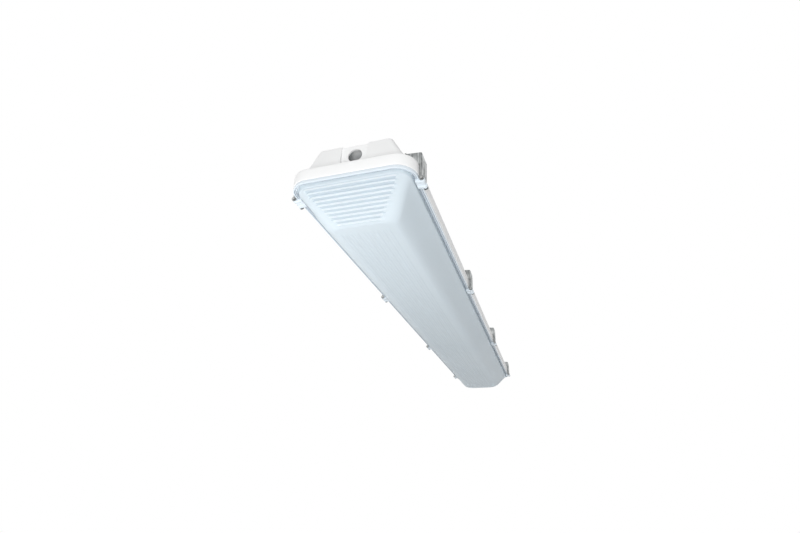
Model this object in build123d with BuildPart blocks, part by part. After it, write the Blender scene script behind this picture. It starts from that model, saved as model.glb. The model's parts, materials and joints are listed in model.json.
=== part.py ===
from build123d import *
import os
from math import hypot

os.makedirs("parts", exist_ok=True)

# Vapor tight light fixture, nominal four-foot size, in millimetres.
# The origin is on the ceiling plane, midway between the two mounting bolts.
# Length runs along Y, width along X and Z points up, so everything hangs below Z zero.
# The rim plane, where the lens meets the housing, carries most of the heights below.

# Whole fixture
fixture_length = 1300.0
rim_width = 190.0
rim_corner = 32.0
housing_height = 66.0
bracket_drop = 8.0
lens_depth = 50.0

# Fits shared by several pieces
joint_gap = 0.3
slip = 0.2
cut = 5.0

# Small repeated rounds are drawn with few sides
eye_sides = 8
screw_sides = 6
hole_sides = 6
wire_sides = 6

# Housing: skirt, sloping shoulder and a leaning body with a flat back
wall = 3.0
skirt_height = 19.5
shoulder_width = 14.3
shoulder_rise = 4.0
end_shoulder = 17.0
side_lean = 23.6
end_lean = 4.0
foot_corner = 9.0
back_corner = 5.0
skirt_edge = 2.5
foot_round = 6.0
back_edge = 2.0
bead_width = 4.0
bead_height = 2.0
bead_end_gap = 12.0

# Gasket channel under the shoulder
channel_width = 8.0
channel_depth = 14.5
lip_wall = 2.5
lip_lift = 5.0
gasket_thickness = 5.5

# End pockets with the conduit holes
pocket_width = 42.0
pocket_depth = 3.0
pocket_lift = 27.0
pad_margin = 4.0
conduit_hole = 11.1
conduit_height = 48.0

# Entry plug of the far hole
plug_head = 15.0
plug_head_thickness = 2.5
plug_barb = 0.6
plug_barb_length = 2.0
plug_bore_wall = 2.0

# Tray bosses on the centre line of the back
boss_radius = 6.0
boss_end_inset = 110.0
boss_grommet_gap = 25.0

# Ceiling brackets: stainless straps bent over the housing back
bracket_spacing = 800.0
bracket_width = 30.0
bracket_sheet = 1.5
bracket_brim_width = 13.7
bracket_rise_run = 6.0
bracket_bolt_hole = 3.5
bracket_bend = 2.5
bracket_reach = 14.0
bracket_catch = 1.2
notch_depth = 1.6

# Gear tray of folded sheet, with its screws
tray_lift = 8.0
tray_sheet = 1.0
tray_side_gap = 10.0
tray_flange = 12.0
tray_bend = 1.5
tray_end_gap = 50.0
tray_screw = 1.75
tray_screw_length = 13.0
tray_screw_hole = 2.2
screw_head = 4.0
screw_head_height = 2.6

# LED boards in two rows under the tray
board_width = 20.0
board_row = 22.0
board_sheet = 1.6
board_joint = 10.0
board_end_gap = 35.0
chip_pairs = 7
chip_size = 5.0
chip_height = 0.8
board_screw = 1.25
board_screw_hole = 1.6
board_head = 2.8
board_head_height = 2.0
jumper_width = 8.0
jumper_length = 16.0
jumper_height = 3.0
connector_width = 6.0
connector_length = 8.0
connector_height = 4.4

# Driver on top of the tray
driver_length = 360.0
driver_width = 42.0
driver_height = 28.0
driver_edge = 2.0
driver_ear = 20.0
driver_ear_sheet = 1.2
driver_screw = 1.75
driver_screw_hole = 2.2

# Supply terminal block and the grounding screw
terminal_place_x = 32.0
terminal_end_gap = 145.0
terminal_width = 34.0
terminal_length = 16.0
terminal_height = 14.0
terminal_pitch = 10.0
terminal_well = 2.4
terminal_well_depth = 6.0
terminal_screw = 2.0
terminal_screw_height = 2.5
ground_place_x = -46.0
ground_head_height = 3.0

# Wires and their grommet
wire = 1.1
wire_lift = 7.0
wire_bend = 12.0
wire_spread = 8.0
wire_run_in = 25.0
wire_cross = 60.0
led_wire_spread = 5.5
led_wire_bend = 4.0
led_wire_drop = 4.4
grommet_place = 55.0
grommet_bore = 7.0
grommet_groove = 8.5
grommet_lip = 10.0
grommet_lip_height = 1.0

# Lens: flange, tongue, stepped wall, ribbed ends and a fluted flat
flange_thickness = 3.0
flange_inset = 0.5
flange_bead_width = 2.5
flange_bead_height = 1.2
tongue_inset = 5.7
tongue_wall = 2.3
lens_wall = 2.5
lens_mouth_inset = 8.0
lens_step_height = 7.0
lens_step_lean = 1.0
lens_flat_half_width = 43.5
lens_end_run = 61.5
lens_flat_corner = 17.0
rib_count = 10
rib_width = 4.0
rib_height = 1.1
rib_flank = 52.0
rib_band_gap = 4.5
flute_count = 8
flute_pitch = 10.0
flute_width = 7.0
flute_height = 0.6
flute_end_gap = 10.0

# Latches: hinged on pins in knuckles of the lens, hooked over the housing shoulder
latches_per_side = 4
latch_end_inset = 46.2
latch_width = 26.0
latch_sheet = 1.2
latch_eye = 3.6
latch_top = 39.5
latch_rise = 3.0
latch_reach = 25.0
latch_hook = 9.5
latch_arm = 4.0
latch_face = 1.0
latch_plate_foot = 5.0
latch_bend = 3.0
pivot_offset = 3.6
pivot_drop = 4.2
pin_radius = 1.25
pin_clearance = 0.05
pin_head = 2.0
pin_head_height = 0.8
knuckle_radius = 3.8
knuckle_width = 20.0
knuckle_root = 7.0
latch_side_gap = 0.5

# Heights and half sizes that follow from the sizes above
back_z = -bracket_drop
rim_z = back_z - housing_height
skirt_z = rim_z + skirt_height
foot_z = skirt_z + shoulder_rise
rim_x = rim_width / 2
rim_y = fixture_length / 2
foot_x = rim_x - shoulder_width
foot_y = rim_y - end_shoulder
back_x = foot_x - side_lean
back_y = foot_y - end_lean
body_rise = back_z - foot_z
side_slope = side_lean / body_rise
end_slope = end_lean / body_rise
side_wall = wall * hypot(side_lean, body_rise) / body_rise
end_wall = wall * hypot(end_lean, body_rise) / body_rise
channel_inset = wall + channel_width
mouth_inset = channel_inset + lip_wall
channel_z = rim_z + channel_depth
pocket_floor = back_y - pocket_depth
conduit_z = rim_z + conduit_height
tray_z = rim_z + tray_lift
tray_top = tray_z + tray_sheet
tray_y = rim_y - tray_end_gap
tray_half_width = rim_x - mouth_inset - tray_side_gap
board_length = tray_y - board_end_gap - board_joint / 2
chip_spacing = board_length / (2 * chip_pairs)
board_screw_pitch = (chip_pairs - 1) * chip_spacing
board_z = tray_z - board_sheet
board_y = (board_joint + board_length) / 2
driver_y = driver_length / 2
driver_ear_top = tray_top + driver_ear_sheet
wire_z = tray_top + wire_lift
grommet_y = driver_y + grommet_place
boss_inner_place = grommet_y + boss_grommet_gap
terminal_place_y = terminal_end_gap - tray_y
boss_places = [(0, s * y) for s in (-1, 1) for y in (rim_y - boss_end_inset, boss_inner_place)]
ear_places = [(0, s * (driver_y + driver_ear / 2)) for s in (-1, 1)]
board_centres = [(sx * board_row, sy * board_y) for sx in (1, -1) for sy in (-1, 1)]
latch_step = (fixture_length - 2 * latch_end_inset) / (latches_per_side - 1)
latch_places = [latch_end_inset - rim_y + n * latch_step for n in range(latches_per_side)]
pivot_x = rim_x + pivot_offset
pivot_z = rim_z - pivot_drop


def level(half_x, half_y, corner, z):
    """A rounded rectangle on the fixture's axis, at the height z."""
    with BuildSketch(Plane.XY.offset(z)) as outline:
        RectangleRounded(2 * half_x, 2 * half_y, corner)
    return outline.sketch


def rim_level(inset, z):
    """The rim's outline moved inwards by the inset."""
    return level(rim_x - inset, rim_y - inset, rim_corner - inset, z)


def rim_ring(outer_inset, inner_inset, z):
    """A ring that runs round the rim between two insets."""
    with BuildSketch(Plane.XY.offset(z)) as ring:
        add(rim_level(outer_inset, z))
        add(rim_level(inner_inset, z), mode=Mode.SUBTRACT)
    return ring.sketch


def side_x(z):
    """The half width of the housing body at a height."""
    return foot_x - (z - foot_z) * side_slope


def toward(start, end, reach):
    """The outline that lies a reach from the start of a wall band, on its way to the end."""
    share = reach / hypot(end[0] - start[0], end[3] - start[3])
    return [a + (b - a) * share for a, b in zip(start, end)]


def eased(before, corner, after, reach):
    """Three outlines that round the corner between two wall bands."""
    first, last = toward(corner, before, reach), toward(corner, after, reach)
    middle = [(a + 2 * b + c) / 4 for a, b, c in zip(first, corner, last)]
    return [first, middle, last]


def save(piece, name):
    """Labels a finished piece and writes it as one node."""
    piece.part.label = name
    export_step(piece.part, f"parts/{name}.step")


# Housing: one lofted shell with gasket channel, end pockets, bosses and bracket notches
rim_outline = (rim_x, rim_y, rim_corner, rim_z)
skirt_outline = (rim_x, rim_y, rim_corner, skirt_z)
foot_outline = (foot_x, foot_y, foot_corner, foot_z)
back_outline = (back_x, back_y, back_corner, back_z)
back_middle = (back_x - wall, back_y - wall, back_corner - wall, back_z)
housing_outlines = [
    rim_outline,
    *eased(rim_outline, skirt_outline, foot_outline, skirt_edge),
    *eased(skirt_outline, foot_outline, back_outline, foot_round),
    *eased(foot_outline, back_outline, back_middle, back_edge),
]
with BuildPart() as housing:
    loft([level(*outline) for outline in housing_outlines], ruled=True)
    # Open inside, from the mouth to the underside of the back
    inner_z = back_z - wall
    inner_rise = inner_z - foot_z
    loft(
        [
            rim_level(mouth_inset, rim_z - cut),
            rim_level(mouth_inset, channel_z),
            level(foot_x - side_wall, foot_y - end_wall, foot_corner - wall, foot_z),
            level(
                side_x(inner_z) - side_wall,
                foot_y - inner_rise * end_slope - end_wall,
                back_corner - wall,
                inner_z,
            ),
        ],
        ruled=True,
        mode=Mode.SUBTRACT,
    )
    extrude(rim_level(wall, rim_z), amount=lip_lift, mode=Mode.SUBTRACT)
    extrude(rim_ring(wall, channel_inset, rim_z), amount=channel_depth, mode=Mode.SUBTRACT)
    # Thick pads behind the end pockets keep the wall whole
    pad_top = back_z - wall / 2
    pocket_z = rim_z + pocket_lift
    pad_foot = pocket_z - pad_margin
    pad_outer = back_y - wall / 2
    pad_inner = pocket_floor - wall
    for end in (-1, 1):
        with Locations((0, end * (pad_outer + pad_inner) / 2, (pad_foot + pad_top) / 2)):
            Box(pocket_width + 2 * pad_margin, pad_outer - pad_inner, pad_top - pad_foot)
        with Locations((0, end * (pocket_floor + end_shoulder / 2), (pocket_z + back_z + cut) / 2)):
            Box(pocket_width, end_shoulder, back_z + cut - pocket_z, mode=Mode.SUBTRACT)
        with Locations((0, end * (pocket_floor + pad_inner) / 2, conduit_z)):
            Cylinder(
                conduit_hole, pocket_floor - pad_inner + 2 * slip,
                rotation=(90, 0, 0), mode=Mode.SUBTRACT,
            )
    # Bosses down to the tray, with pilot holes for its screws
    with BuildSketch(Plane.XY.offset(tray_top)):
        with Locations(*boss_places):
            RegularPolygon(boss_radius, eye_sides)
    extrude(amount=back_z - wall / 2 - tray_top)
    with BuildSketch(Plane.XY.offset(tray_top)):
        with Locations(*boss_places):
            RegularPolygon(tray_screw, hole_sides, major_radius=False)
    extrude(amount=tray_screw_length, mode=Mode.SUBTRACT)
    # Beads along both back edges, which carry the brackets
    for side in (-1, 1):
        with Locations((side * (back_x - back_edge - bead_width / 2), 0, back_z)):
            Box(bead_width, 2 * (back_y - bead_end_gap), 2 * bead_height)
    # Notches in the sloping sides, where the bracket tips hook in
    tip_z = back_z + bead_height - bracket_reach
    notch_height = bracket_sheet + 2 * joint_gap
    for side in (-1, 1):
        for end in (-1, 1):
            with Locations(
                (
                    side * (side_x(tip_z) - notch_depth + cut / 2),
                    end * bracket_spacing / 2,
                    tip_z - bracket_sheet / 2,
                )
            ):
                Box(cut, bracket_width + 2 * joint_gap, notch_height, mode=Mode.SUBTRACT)
save(housing, "housing")

# Gasket: a poured ring in the top of the channel
with BuildPart() as gasket:
    extrude(
        rim_ring(wall + slip, channel_inset - slip, channel_z - gasket_thickness),
        amount=gasket_thickness,
    )
save(gasket, "gasket")

# Brackets: hat-shaped straps that rest on the beads and hook into the side notches
brim_z = back_z + bead_height
leg_x = side_x(brim_z) + 2 * joint_gap
brim_x = leg_x - bracket_brim_width
tip_x = side_x(tip_z) - bracket_catch
for end, name in ((-1, "bracket_near"), (1, "bracket_far")):
    with BuildPart() as bracket:
        with BuildSketch(Plane.XZ.offset(-end * bracket_spacing / 2)):
            with BuildLine():
                FilletPolyline(
                    (0, -bracket_sheet),
                    (brim_x - bracket_rise_run, -bracket_sheet),
                    (brim_x, brim_z),
                    (leg_x, brim_z),
                    radius=bracket_bend,
                )
                Polyline(
                    (leg_x, brim_z),
                    (leg_x + bracket_reach * side_slope, tip_z),
                    (tip_x, tip_z),
                )
                offset(amount=bracket_sheet, kind=Kind.INTERSECTION, side=Side.LEFT)
            make_face()
        extrude(amount=bracket_width / 2, both=True)
        mirror(about=Plane.YZ)
        with Locations((0, end * bracket_spacing / 2, 0)):
            Hole(bracket_bolt_hole)
    save(bracket, name)

# Entry plug: closes the conduit hole of the far end
with BuildPart() as entry_plug:
    with BuildSketch(Plane.XZ.offset(-pocket_floor)):
        with Locations((0, conduit_z)):
            Circle(plug_head)
    extrude(amount=-plug_head_thickness)
    with BuildSketch(Plane.XZ.offset(-pocket_floor)):
        with Locations((0, conduit_z)):
            RegularPolygon(conduit_hole - slip / 2, eye_sides)
    extrude(amount=pocket_floor - pad_inner + slip)
    with BuildSketch(Plane.XZ.offset(-pad_inner + slip)):
        with Locations((0, conduit_z)):
            RegularPolygon(conduit_hole + plug_barb, eye_sides)
    extrude(amount=plug_barb_length)
    with BuildSketch(Plane.XZ.offset(-pad_inner + slip + plug_barb_length)):
        with Locations((0, conduit_z)):
            RegularPolygon(conduit_hole - plug_bore_wall, eye_sides)
    extrude(amount=-(pocket_floor - pad_inner + plug_barb_length), mode=Mode.SUBTRACT)
save(entry_plug, "entry_plug")

# Gear tray: a shallow channel with holes for all that is screwed to it
board_screw_places = [
    (x, y + n * board_screw_pitch) for x, y in board_centres for n in (-1, 0, 1)
]
with BuildPart() as gear_tray:
    with BuildSketch(Plane.XZ):
        with BuildLine():
            FilletPolyline(
                (-tray_half_width, tray_top + tray_flange),
                (-tray_half_width, tray_z),
                (tray_half_width, tray_z),
                (tray_half_width, tray_top + tray_flange),
                radius=tray_bend,
            )
            offset(amount=tray_sheet, side=Side.LEFT)
        make_face()
    extrude(amount=tray_y, both=True)
    for places, radius in (
        (boss_places, tray_screw_hole),
        (ear_places, driver_screw_hole),
        (board_screw_places, board_screw),
        ([(0, grommet_y)], grommet_groove),
        ([(ground_place_x, terminal_place_y)], driver_screw_hole),
    ):
        with BuildSketch(Plane.XY.offset(tray_z - slip)):
            with Locations(*places):
                RegularPolygon(radius, hole_sides, major_radius=False)
        extrude(amount=tray_sheet + 2 * slip, mode=Mode.SUBTRACT)
save(gear_tray, "gear_tray")


def screws(places, head_z, head, head_height, shank, length):
    """Pan-head screws whose heads lie at head_z; a negative length points the shank down."""
    up = 1 if length > 0 else -1
    with BuildPart() as group:
        with BuildSketch(Plane.XY.offset(head_z)):
            with Locations(*places):
                RegularPolygon(head, screw_sides)
        extrude(amount=-up * head_height)
        with BuildSketch(Plane.XY.offset(head_z)):
            with Locations(*places):
                RegularPolygon(shank, screw_sides)
        extrude(amount=length)
    return group


save(
    screws(boss_places, tray_z, screw_head, screw_head_height, tray_screw, tray_screw_length),
    "tray_screws",
)

# LED boards with their packages, numbered row by row
for number, (x, y) in enumerate(board_centres, start=1):
    with BuildPart() as led_board:
        with BuildSketch(Plane.XY.offset(board_z)):
            with Locations((x, y)):
                Rectangle(board_width, board_length)
            with Locations(*[(x, y + n * board_screw_pitch) for n in (-1, 0, 1)]):
                RegularPolygon(
                    board_screw_hole, hole_sides, major_radius=False, mode=Mode.SUBTRACT
                )
        extrude(amount=board_sheet)
    save(led_board, f"led_board_{number}")
    with BuildPart() as led_chips:
        with BuildSketch(Plane.XY.offset(board_z)):
            with Locations((x, y)):
                with GridLocations(chip_spacing, chip_spacing, 1, 2 * chip_pairs):
                    Rectangle(chip_size, chip_size)
        extrude(amount=-chip_height)
    save(led_chips, f"led_chips_{number}")

save(
    screws(
        board_screw_places, board_z, board_head, board_head_height,
        board_screw, board_sheet + tray_sheet,
    ),
    "board_screws",
)

with BuildPart() as board_jumpers:
    with BuildSketch(Plane.XY.offset(board_z)):
        with Locations((-board_row, 0), (board_row, 0)):
            Rectangle(jumper_width, jumper_length)
    extrude(amount=-jumper_height)
save(board_jumpers, "board_jumpers")

connector_x = board_row - board_width / 2 + joint_gap + connector_width / 2
with BuildPart() as board_connectors:
    with BuildSketch(Plane.XY.offset(board_z)):
        with Locations((-connector_x, grommet_y), (connector_x, grommet_y)):
            Rectangle(connector_width, connector_length)
    extrude(amount=-connector_height)
save(board_connectors, "board_connectors")

# Driver: a closed case with an ear at each end
with BuildPart() as driver_case:
    with BuildSketch(Plane.XY.offset(tray_top)):
        Rectangle(driver_width, driver_length)
    extrude(amount=driver_height)
    fillet(driver_case.edges().filter_by(Axis.Y).group_by(Axis.Z)[-1], radius=driver_edge)
    with BuildSketch(Plane.XY.offset(tray_top)):
        Rectangle(driver_width, driver_length + 2 * driver_ear)
        with Locations(*ear_places):
            RegularPolygon(
                driver_screw_hole, hole_sides, major_radius=False, mode=Mode.SUBTRACT
            )
    extrude(amount=driver_ear_sheet)
save(driver_case, "driver_case")
save(
    screws(
        ear_places, driver_ear_top, screw_head, screw_head_height,
        driver_screw, -(driver_ear_sheet + 2 * tray_sheet),
    ),
    "driver_screws",
)

# Terminal block with a screw well over each way
terminal_top = tray_top + terminal_height
ways = [terminal_place_x + n * terminal_pitch for n in (-1, 0, 1)]
well_places = [(x, terminal_place_y) for x in ways]
with BuildPart() as terminal_block:
    with BuildSketch(Plane.XY.offset(tray_top)):
        with Locations((terminal_place_x, terminal_place_y)):
            Rectangle(terminal_width, terminal_length)
    extrude(amount=terminal_height)
    with BuildSketch(Plane.XY.offset(terminal_top)):
        with Locations(*well_places):
            RegularPolygon(terminal_well, hole_sides, major_radius=False)
    extrude(amount=-terminal_well_depth, mode=Mode.SUBTRACT)
save(terminal_block, "terminal_block")

with BuildPart() as terminal_screws:
    with BuildSketch(Plane.XY.offset(terminal_top - terminal_well_depth)):
        with Locations(*well_places):
            RegularPolygon(terminal_screw, screw_sides)
    extrude(amount=terminal_screw_height)
save(terminal_screws, "terminal_screws")

save(
    screws(
        [(ground_place_x, terminal_place_y)], tray_top, screw_head, ground_head_height,
        driver_screw, -2 * tray_sheet,
    ),
    "ground_screw",
)

# Grommet that takes the LED wires through the tray
with BuildPart() as tray_grommet:
    for low, high, radius in (
        (tray_z - grommet_lip_height, tray_z, grommet_lip),
        (tray_z, tray_top, grommet_groove),
        (tray_top, tray_top + grommet_lip_height, grommet_lip),
    ):
        with BuildSketch(Plane.XY.offset(low)):
            with Locations((0, grommet_y)):
                RegularPolygon(radius, hole_sides, major_radius=False)
                RegularPolygon(grommet_bore, hole_sides, mode=Mode.SUBTRACT)
        extrude(amount=high - low)
save(tray_grommet, "tray_grommet")


def wires(routes, bend):
    """One round wire along each route, with equal bends."""
    with BuildPart() as bundle:
        for points in routes:
            with BuildLine(mode=Mode.PRIVATE) as path:
                FilletPolyline(*points, radius=bend)
            start = path.line
            with BuildSketch(Plane(origin=start @ 0, z_dir=start % 0)):
                RegularPolygon(wire, wire_sides)
            sweep(path=path.line)
    return bundle


supply_start = terminal_place_y + terminal_length / 2
supply_routes = [
    [
        (x, supply_start, wire_z),
        (x, -driver_y - wire_cross, wire_z),
        (n * wire_spread, -driver_y - wire_run_in, wire_z),
        (n * wire_spread, -driver_y, wire_z),
    ]
    for x, n in zip(ways, (-1, 0, 1))
]
save(wires(supply_routes, wire_bend), "supply_wires")

led_wire_z = tray_z - led_wire_drop
led_routes = [
    [
        (s * led_wire_spread, driver_y, wire_z),
        (s * led_wire_spread, grommet_y, wire_z),
        (s * led_wire_spread, grommet_y, led_wire_z),
        (s * (connector_x - connector_width / 2), grommet_y, led_wire_z),
    ]
    for s in (-1, 1)
]
save(wires(led_routes, led_wire_bend), "led_wires")

# Lens: heights run down from the flange, which hangs a joint gap below the rim plane
flange_z = rim_z - joint_gap
step_z = rim_z - lens_step_height
flat_z = rim_z - lens_depth
step_x = rim_x - lens_mouth_inset - lens_step_lean
step_y = rim_y - lens_mouth_inset - lens_step_lean
step_corner = rim_corner - lens_mouth_inset - lens_step_lean
lens_flat_y = rim_y - lens_end_run
slope_rise = step_z - flat_z


def slope_sizes(share):
    """The half width, half length and corner of the lens at a share of the way down its slope."""
    return [
        high + (low - high) * share
        for high, low in (
            (step_x, lens_flat_half_width), (step_y, lens_flat_y), (step_corner, lens_flat_corner)
        )
    ]


def slope_level(z, inset=0.0):
    """The lens outline at a height on its slope, drawn in by the inset."""
    return level(*[size - inset for size in slope_sizes((step_z - z) / slope_rise)], z)


end_run = step_y - lens_flat_y
slope_length = hypot(end_run, slope_rise)
rib_step = (slope_length - 2 * rib_band_gap) / (rib_count - 1)
inner_flat_z = flat_z + lens_wall
slope_wall = lens_wall * hypot(step_x - lens_flat_half_width, slope_rise) / slope_rise

with BuildPart() as lens:
    loft(
        [rim_level(lens_mouth_inset, flange_z), slope_level(step_z), slope_level(flat_z)],
        ruled=True,
    )
    # Ribs across both end slopes, each as long as the slope is straight at its place
    for end in (-1, 1):
        end_slope_plane = Plane(
            origin=(0, end * step_y, step_z), x_dir=(1, 0, 0), z_dir=(0, end * slope_rise, -end_run)
        )
        with BuildSketch(end_slope_plane.offset(-slip)):
            for n in range(rib_count):
                way = rib_band_gap + n * rib_step
                half_width, _, corner = slope_sizes(way / slope_length)
                with Locations((0, end * way)):
                    Rectangle(2 * (half_width - corner), rib_width)
        extrude(amount=rib_height + slip, taper=rib_flank)
    extrude(
        rim_ring(flange_inset, lens_mouth_inset + lens_wall / 2, flange_z),
        amount=-flange_thickness,
    )
    extrude(
        rim_ring(flange_inset, flange_inset + flange_bead_width, flange_z - flange_thickness),
        amount=-flange_bead_height,
    )
    extrude(
        rim_ring(tongue_inset, tongue_inset + tongue_wall, flange_z - flange_thickness / 2),
        amount=channel_z - gasket_thickness - joint_gap - flange_z + flange_thickness / 2,
    )
    # Shallow flutes along the flat
    with BuildSketch(Plane.XZ):
        for n in range(flute_count):
            x = (n - (flute_count - 1) / 2) * flute_pitch
            left, right = x - flute_width / 2, x + flute_width / 2
            with BuildLine():
                ThreePointArc((left, flat_z), (x, flat_z - flute_height), (right, flat_z))
                Polyline(
                    (right, flat_z), (right, flat_z + flute_height),
                    (left, flat_z + flute_height), (left, flat_z),
                )
            make_face()
    extrude(amount=lens_flat_y - flute_end_gap, both=True)
    # Open inside, with one even wall
    loft(
        [
            rim_level(lens_mouth_inset + lens_wall, flange_z + cut),
            slope_level(step_z, inset=lens_wall),
            slope_level(inner_flat_z, inset=slope_wall),
        ],
        ruled=True,
        mode=Mode.SUBTRACT,
    )
    # Knuckles at the rim, drilled for the latch pins, on blocks that reach over the flange
    root_x = rim_x - knuckle_root
    root_z = pivot_z - knuckle_radius / 2
    for side in (-1, 1):
        for y in latch_places:
            with BuildSketch(Plane.XZ.offset(-y)):
                with Locations((side * pivot_x, pivot_z)):
                    RegularPolygon(knuckle_radius, eye_sides)
                with Locations((side * (pivot_x + root_x) / 2, (root_z + flange_z) / 2)):
                    Rectangle(pivot_x - root_x, flange_z - root_z)
                with Locations((side * pivot_x, pivot_z)):
                    RegularPolygon(
                        pin_radius, eye_sides, major_radius=False, mode=Mode.SUBTRACT
                    )
            extrude(amount=knuckle_width / 2, both=True)
save(lens, "lens")

# Latch pins: one through each knuckle, with a low head outside one cheek
pin_half = latch_width / 2 + slip
with BuildPart() as latch_pins:
    for side in (-1, 1):
        for y in latch_places:
            with BuildSketch(Plane.XZ.offset(-y)):
                with Locations((side * pivot_x, pivot_z)):
                    Circle(pin_radius)
            extrude(amount=pin_half, both=True)
            with BuildSketch(Plane.XZ.offset(pin_half - y)):
                with Locations((side * pivot_x, pivot_z)):
                    RegularPolygon(pin_head, hole_sides)
            extrude(amount=pin_head_height)
save(latch_pins, "latch_pins")

# Latches: pressed channels, drawn about the pivot with X outwards and Y up
latch_height = latch_top + pivot_drop
latch_tip = latch_height + latch_rise
cheek_in = rim_x + latch_side_gap - pivot_x
shoulder_slope = shoulder_rise / shoulder_width


def over_shoulder(x):
    """The height, from the pivot, that clears the shoulder at x from the pivot."""
    return skirt_height + pivot_drop + joint_gap - (x + pivot_offset) * shoulder_slope


def latch(side, y):
    """A latch of one side of the fixture, at its place along the length."""
    blade = Plane(origin=(side * pivot_x, y, pivot_z), x_dir=(side, 0, 0), z_dir=(0, -side, 0))
    with BuildPart() as piece:
        with BuildSketch(blade):
            with BuildLine():
                Polyline(
                    (latch_face, 0),
                    (cheek_in, 0),
                    (cheek_in, over_shoulder(cheek_in)),
                    (-latch_hook, over_shoulder(-latch_hook)),
                    (-latch_reach, latch_tip - latch_arm),
                    (-latch_reach, latch_tip),
                )
                FilletPolyline(
                    (-latch_reach, latch_tip),
                    (latch_face, latch_height),
                    (latch_face, 0),
                    radius=latch_bend,
                )
            make_face()
            RegularPolygon(latch_eye, eye_sides)
        extrude(amount=latch_width / 2, both=True)
        with BuildSketch(blade):
            with BuildLine():
                FilletPolyline(
                    (latch_face - latch_sheet, latch_plate_foot),
                    (latch_face - latch_sheet, latch_height - latch_sheet),
                    (latch_sheet - latch_reach, latch_tip - latch_sheet),
                    radius=latch_bend - latch_sheet,
                )
                Polyline(
                    (latch_sheet - latch_reach, latch_tip - latch_sheet),
                    (latch_sheet - latch_reach, -latch_eye - cut),
                    (cut, -latch_eye - cut),
                    (cut, latch_plate_foot),
                    (latch_face - latch_sheet, latch_plate_foot),
                )
            make_face()
        extrude(amount=latch_width / 2 - latch_sheet, both=True, mode=Mode.SUBTRACT)
        with BuildSketch(blade):
            RegularPolygon(pin_radius + pin_clearance, eye_sides, major_radius=False)
        extrude(amount=latch_width, both=True, mode=Mode.SUBTRACT)
    return piece


for side, side_name in ((1, "right"), (-1, "left")):
    for number, y in enumerate(latch_places, start=1):
        save(latch(side, y), f"latch_{side_name}_{number}")
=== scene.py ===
# %% [markdown]
# A vapor tight light: a white moulded housing under the ceiling, a frosted ribbed lens below it,
# and eight stainless latches that clamp the two together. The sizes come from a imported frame,
# so this script only dresses what is already in place: it never moves or resizes a part.

# %% Load the frame and keep its box
import json
from math import cos, hypot, pi, radians, sin, sqrt

import bmesh
import bpy
from mathutils import Matrix, Vector


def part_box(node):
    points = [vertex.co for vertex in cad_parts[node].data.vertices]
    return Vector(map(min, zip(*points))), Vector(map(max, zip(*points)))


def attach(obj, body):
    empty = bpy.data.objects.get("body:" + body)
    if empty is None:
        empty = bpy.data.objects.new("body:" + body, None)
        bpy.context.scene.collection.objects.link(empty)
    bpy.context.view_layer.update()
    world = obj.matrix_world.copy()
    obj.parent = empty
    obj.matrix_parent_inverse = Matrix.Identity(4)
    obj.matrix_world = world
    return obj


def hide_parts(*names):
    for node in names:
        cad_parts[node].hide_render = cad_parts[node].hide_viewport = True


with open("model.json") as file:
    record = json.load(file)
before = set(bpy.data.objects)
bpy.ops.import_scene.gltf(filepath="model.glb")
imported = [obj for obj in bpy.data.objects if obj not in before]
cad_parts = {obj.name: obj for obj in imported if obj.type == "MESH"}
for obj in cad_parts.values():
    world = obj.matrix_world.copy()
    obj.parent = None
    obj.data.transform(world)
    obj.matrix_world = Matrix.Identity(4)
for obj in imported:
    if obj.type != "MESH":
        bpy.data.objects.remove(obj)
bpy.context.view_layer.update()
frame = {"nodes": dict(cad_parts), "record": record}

nodes = frame["nodes"]

# %% [markdown]
# The photograph looks up at the fixture from below its near end. A camera could be moved by eye
# until the picture looks right. Here its place and aim were worked out from the rim's edges, the
# knuckles and the lens's flat, and its focal length from how fast the fixture shrinks towards
# the far end, so that all edges fit at once. The result is a wide view from close by.

# %% Camera
sensor_millimetres = 36.0
picture_width = 800
focal_pixels = 468.3
camera_place = Vector((0.23693, -1.12641, -0.46908))
camera_forward = Vector((-0.27879, 0.85688, 0.43362)).normalized()
camera_up = Vector((0.10787, -0.42072, 0.90075))

camera = bpy.data.objects.new("camera", bpy.data.cameras.new("camera"))
bpy.context.collection.objects.link(camera)
camera.data.sensor_width = sensor_millimetres
camera.data.lens = focal_pixels / picture_width * sensor_millimetres
back = -camera_forward
right = camera_up.cross(back).normalized()
camera.matrix_world = Matrix.Translation(camera_place) @ Matrix(
    (right, back.cross(right), back)
).transposed().to_4x4()
bpy.context.scene.camera = camera
print("focal length", round(camera.data.lens, 2), "mm")

# %% [markdown]
# A node tree reads best when each node is one line. One small helper makes a node and fills its
# plain inputs, the next joins an output to an input, and the last starts a group with its sockets.

# %% Node helpers
def add_node(tree, kind, inputs=None, **settings):
    """A new node of one kind, with its settings and its plain input values."""
    made = tree.nodes.new(kind)
    for name, value in settings.items():
        setattr(made, name, value)
    for name, value in (inputs or {}).items():
        made.inputs[name].default_value = value
    return made


def join(tree, made, output, target, name):
    """A link from one node's output to another node's input, each told by name or number."""
    tree.links.new(made.outputs[output], target.inputs[name])


def new_group(name, inputs, outputs):
    """An empty shader group with named sockets: a type and a first value for each input."""
    tree = bpy.data.node_groups.new(name, "ShaderNodeTree")
    for socket, (kind, value) in inputs.items():
        made = tree.interface.new_socket(socket, in_out="INPUT", socket_type=kind)
        made.default_value = value
    for socket, kind in outputs.items():
        tree.interface.new_socket(socket, in_out="OUTPUT", socket_type=kind)
    return tree, tree.nodes.new("NodeGroupInput"), tree.nodes.new("NodeGroupOutput")


# %% [markdown]
# Moulded plastic is never perfectly even. The resin flows, so its tone drifts over a hand's
# width, and the tool leaves a fine satin grain. Pictures of real plastic could show that, but
# noise has no seams and fits any shape. Several plastics here share the effect, so it is one
# group: a slow drift between two tones, and a fine height for the bump.

# %% Moulded surface group
NUMBER = "NodeSocketFloat"
COLOUR = "NodeSocketColor"
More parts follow.
